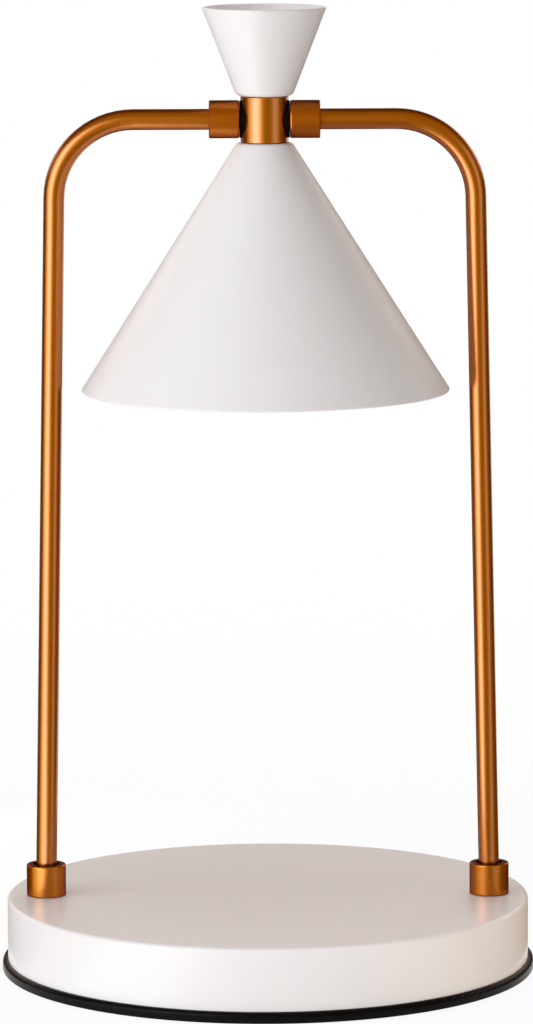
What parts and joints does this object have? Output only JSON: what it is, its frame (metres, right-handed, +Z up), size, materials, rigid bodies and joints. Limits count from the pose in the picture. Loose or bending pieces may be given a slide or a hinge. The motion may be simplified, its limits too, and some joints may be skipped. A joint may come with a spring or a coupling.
{
  "type": "candle warmer lamp",
  "caption": "Candle warmer: a round weighted base and a thin tube arch whose centre barrel tilts a conical shade with a twist-lock lamp, and a funnel on top.",
  "frame": {"origin": "centre of the base's underside, on the surface that the lamp stands on", "axes": "+Z up along the base's axis, +X to the right along the arch's level axis, -Y to the front"},
  "size_m": [0.18, 0.18, 0.325],
  "materials": {
    "white_paint": "satin white powder coat",
    "bronze_tube": "satin bronze plate on steel tube",
    "bronze_turned": "satin bronze, turned",
    "black_plate": "moulded, fine grain",
    "black_rubber": "matte",
    "black_nylon": "smooth",
    "weight_iron": "as cast, turned edges",
    "zinc_steel": "zinc plated",
    "terminal_plastic": "moulded",
    "contact_brass": "stamped",
    "ceramic": "unglazed steatite",
    "lead_sleeve": "silicone sleeve",
    "nickel_pins": "nickel plated",
    "reflector_glass": "pressed glass, aluminised inside",
    "clear_glass": "clear",
    "tungsten": "wire"
  },
  "bodies": {
    "stand": {"rubber_mat": "black_rubber", "bottom_plate": "black_plate", "base_shell": "white_paint", "base_weight": "weight_iron", "base_screws": "zinc_steel", "cord_grommet": "black_rubber", "terminal_block": "terminal_plastic", "terminal_screws": "contact_brass", "base_collar_left": "bronze_turned", "base_collar_right": "bronze_turned", "post_washers": "zinc_steel", "post_nuts": "zinc_steel", "arch_tube_left": "bronze_tube", "arch_tube_right": "bronze_tube", "arch_lead": "lead_sleeve", "hub_sleeve_left": "bronze_turned", "hub_sleeve_right": "bronze_turned", "pivot_pin_left": "zinc_steel", "pivot_pin_right": "zinc_steel", "sleeve_grub_screws": "zinc_steel"},
    "head": {"hub_barrel": "bronze_turned", "pivot_pad_left": "black_nylon", "pivot_pad_right": "black_nylon", "funnel": "white_paint", "funnel_washer": "zinc_steel", "funnel_screw": "zinc_steel", "shade": "white_paint", "shade_nipple": "zinc_steel", "shade_washer": "zinc_steel", "shade_nut": "zinc_steel", "bracket_nut": "zinc_steel", "holder_bracket": "zinc_steel", "holder_screws": "zinc_steel", "holder_cover": "ceramic", "holder_body": "ceramic", "holder_contacts": "contact_brass", "head_lead": "lead_sleeve"},
    "lamp": {"lamp_base": "ceramic", "lamp_pins": "nickel_pins", "lamp_reflector": "reflector_glass", "lamp_lens": "clear_glass", "lamp_capsule": "clear_glass", "lamp_filament": "tungsten"}
  },
  "joints": [
    {"name": "head_tilt", "type": "hinge", "parent": "stand", "child": "head", "pos_m": [0, 0, 0.2877], "axis": [1, 0, 0], "range_deg": [-45, 45]},
    {"name": "lamp_twist", "type": "hinge", "parent": "head", "child": "lamp", "pos_m": [0, 0, 0.2499], "axis": [0, 0, -1], "range_deg": [0, 35]}
  ]
}
